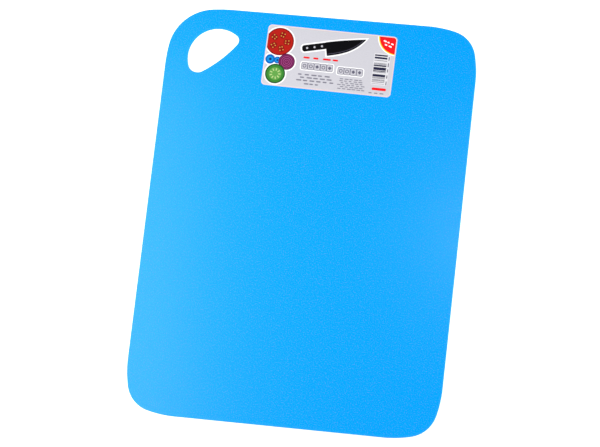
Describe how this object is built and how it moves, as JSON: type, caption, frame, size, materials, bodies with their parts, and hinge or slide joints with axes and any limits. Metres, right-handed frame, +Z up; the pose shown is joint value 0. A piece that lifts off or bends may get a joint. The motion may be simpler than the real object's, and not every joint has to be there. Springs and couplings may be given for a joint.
{
  "type": "flexible cutting mat",
  "caption": "Thin blue flexible plastic cutting mat with rounded corners, a hanging hole in one corner and a stuck-on printed label; its long sides lift into a chute.",
  "frame": {"origin": "under the middle of the mat, on the surface that it lies on", "axes": "+X to the right and +Y towards the end with the hanging hole, seen from above; +Z up out of the labelled face"},
  "size_m": [0.26, 0.345, 0.0021],
  "materials": {
    "sheet": "finely grained, slightly translucent bright blue plastic",
    "label": "satin printed film, pale grey ground with coloured print"
  },
  "bodies": {
    "centre": {"sheet_centre_strip": "sheet", "label": "label"},
    "left_strip_1": {"sheet_left_strip_1": "sheet"},
    "left_strip_2": {"sheet_left_strip_2": "sheet"},
    "left_strip_3": {"sheet_left_strip_3": "sheet"},
    "left_strip_4": {"sheet_left_strip_4": "sheet"},
    "left_strip_5": {"sheet_left_strip_5": "sheet"},
    "left_strip_6": {"sheet_left_strip_6": "sheet"},
    "left_strip_7": {"sheet_left_strip_7": "sheet"},
    "left_strip_8": {"sheet_left_strip_8": "sheet"},
    "left_band": {"sheet_left_band": "sheet"},
    "right_strip_1": {"sheet_right_strip_1": "sheet"},
    "right_strip_2": {"sheet_right_strip_2": "sheet"},
    "right_strip_3": {"sheet_right_strip_3": "sheet"},
    "right_strip_4": {"sheet_right_strip_4": "sheet"},
    "right_strip_5": {"sheet_right_strip_5": "sheet"},
    "right_strip_6": {"sheet_right_strip_6": "sheet"},
    "right_strip_7": {"sheet_right_strip_7": "sheet"},
    "right_strip_8": {"sheet_right_strip_8": "sheet"},
    "right_band": {"sheet_right_band": "sheet"}
  },
  "joints": [
    {"name": "left_bend_1", "type": "hinge", "parent": "centre", "child": "left_strip_1", "pos_m": [-0.00382, 0, 0.002], "axis": [0, 1, 0], "range_deg": [0, 10], "stiffness_Nm_per_rad": 3, "deforming": ["label"]},
    {"name": "left_bend_2", "type": "hinge", "parent": "left_strip_1", "child": "left_strip_2", "pos_m": [-0.01147, 0, 0.002], "axis": [0, 1, 0], "range_deg": [0, 10], "stiffness_Nm_per_rad": 3, "deforming": ["label"]},
    {"name": "left_bend_3", "type": "hinge", "parent": "left_strip_2", "child": "left_strip_3", "pos_m": [-0.01912, 0, 0.002], "axis": [0, 1, 0], "range_deg": [0, 10], "stiffness_Nm_per_rad": 3, "deforming": ["label"]},
    {"name": "left_bend_4", "type": "hinge", "parent": "left_strip_3", "child": "left_strip_4", "pos_m": [-0.02676, 0, 0.002], "axis": [0, 1, 0], "range_deg": [0, 10], "stiffness_Nm_per_rad": 3, "deforming": ["label"]},
    {"name": "left_bend_5", "type": "hinge", "parent": "left_strip_4", "child": "left_strip_5", "pos_m": [-0.03441, 0, 0.002], "axis": [0, 1, 0], "range_deg": [0, 10], "stiffness_Nm_per_rad": 3, "deforming": ["label"]},
    {"name": "left_bend_6", "type": "hinge", "parent": "left_strip_5", "child": "left_strip_6", "pos_m": [-0.04206, 0, 0.002], "axis": [0, 1, 0], "range_deg": [0, 10], "stiffness_Nm_per_rad": 3, "deforming": ["label"]},
    {"name": "left_bend_7", "type": "hinge", "parent": "left_strip_6", "child": "left_strip_7", "pos_m": [-0.04971, 0, 0.002], "axis": [0, 1, 0], "range_deg": [0, 10], "stiffness_Nm_per_rad": 3},
    {"name": "left_bend_8", "type": "hinge", "parent": "left_strip_7", "child": "left_strip_8", "pos_m": [-0.05735, 0, 0.002], "axis": [0, 1, 0], "range_deg": [0, 10], "stiffness_Nm_per_rad": 3},
    {"name": "left_bend_9", "type": "hinge", "parent": "left_strip_8", "child": "left_band", "pos_m": [-0.065, 0, 0.002], "axis": [0, 1, 0], "range_deg": [0, 10], "stiffness_Nm_per_rad": 3},
    {"name": "right_bend_1", "type": "hinge", "parent": "centre", "child": "right_strip_1", "pos_m": [0.00382, 0, 0.002], "axis": [0, -1, 0], "range_deg": [0, 10], "stiffness_Nm_per_rad": 3, "deforming": ["label"]},
    {"name": "right_bend_2", "type": "hinge", "parent": "right_strip_1", "child": "right_strip_2", "pos_m": [0.01147, 0, 0.002], "axis": [0, -1, 0], "range_deg": [0, 10], "stiffness_Nm_per_rad": 3, "deforming": ["label"]},
    {"name": "right_bend_3", "type": "hinge", "parent": "right_strip_2", "child": "right_strip_3", "pos_m": [0.01912, 0, 0.002], "axis": [0, -1, 0], "range_deg": [0, 10], "stiffness_Nm_per_rad": 3, "deforming": ["label"]},
    {"name": "right_bend_4", "type": "hinge", "parent": "right_strip_3", "child": "right_strip_4", "pos_m": [0.02676, 0, 0.002], "axis": [0, -1, 0], "range_deg": [0, 10], "stiffness_Nm_per_rad": 3, "deforming": ["label"]},
    {"name": "right_bend_5", "type": "hinge", "parent": "right_strip_4", "child": "right_strip_5", "pos_m": [0.03441, 0, 0.002], "axis": [0, -1, 0], "range_deg": [0, 10], "stiffness_Nm_per_rad": 3, "deforming": ["label"]},
    {"name": "right_bend_6", "type": "hinge", "parent": "right_strip_5", "child": "right_strip_6", "pos_m": [0.04206, 0, 0.002], "axis": [0, -1, 0], "range_deg": [0, 10], "stiffness_Nm_per_rad": 3, "deforming": ["label"]},
    {"name": "right_bend_7", "type": "hinge", "parent": "right_strip_6", "child": "right_strip_7", "pos_m": [0.04971, 0, 0.002], "axis": [0, -1, 0], "range_deg": [0, 10], "stiffness_Nm_per_rad": 3, "deforming": ["label"]},
    {"name": "right_bend_8", "type": "hinge", "parent": "right_strip_7", "child": "right_strip_8", "pos_m": [0.05735, 0, 0.002], "axis": [0, -1, 0], "range_deg": [0, 10], "stiffness_Nm_per_rad": 3, "deforming": ["label"]},
    {"name": "right_bend_9", "type": "hinge", "parent": "right_strip_8", "child": "right_band", "pos_m": [0.065, 0, 0.002], "axis": [0, -1, 0], "range_deg": [0, 10], "stiffness_Nm_per_rad": 3}
  ],
  "couplings": [
    {"joint": "left_bend_2", "follows": "left_bend_1", "ratio": 1},
    {"joint": "left_bend_3", "follows": "left_bend_1", "ratio": 1},
    {"joint": "left_bend_4", "follows": "left_bend_1", "ratio": 1},
    {"joint": "left_bend_5", "follows": "left_bend_1", "ratio": 1},
    {"joint": "left_bend_6", "follows": "left_bend_1", "ratio": 1},
    {"joint": "left_bend_7", "follows": "left_bend_1", "ratio": 1},
    {"joint": "left_bend_8", "follows": "left_bend_1", "ratio": 1},
    {"joint": "left_bend_9", "follows": "left_bend_1", "ratio": 1},
    {"joint": "right_bend_2", "follows": "right_bend_1", "ratio": 1},
    {"joint": "right_bend_3", "follows": "right_bend_1", "ratio": 1},
    {"joint": "right_bend_4", "follows": "right_bend_1", "ratio": 1},
    {"joint": "right_bend_5", "follows": "right_bend_1", "ratio": 1},
    {"joint": "right_bend_6", "follows": "right_bend_1", "ratio": 1},
    {"joint": "right_bend_7", "follows": "right_bend_1", "ratio": 1},
    {"joint": "right_bend_8", "follows": "right_bend_1", "ratio": 1},
    {"joint": "right_bend_9", "follows": "right_bend_1", "ratio": 1}
  ]
}
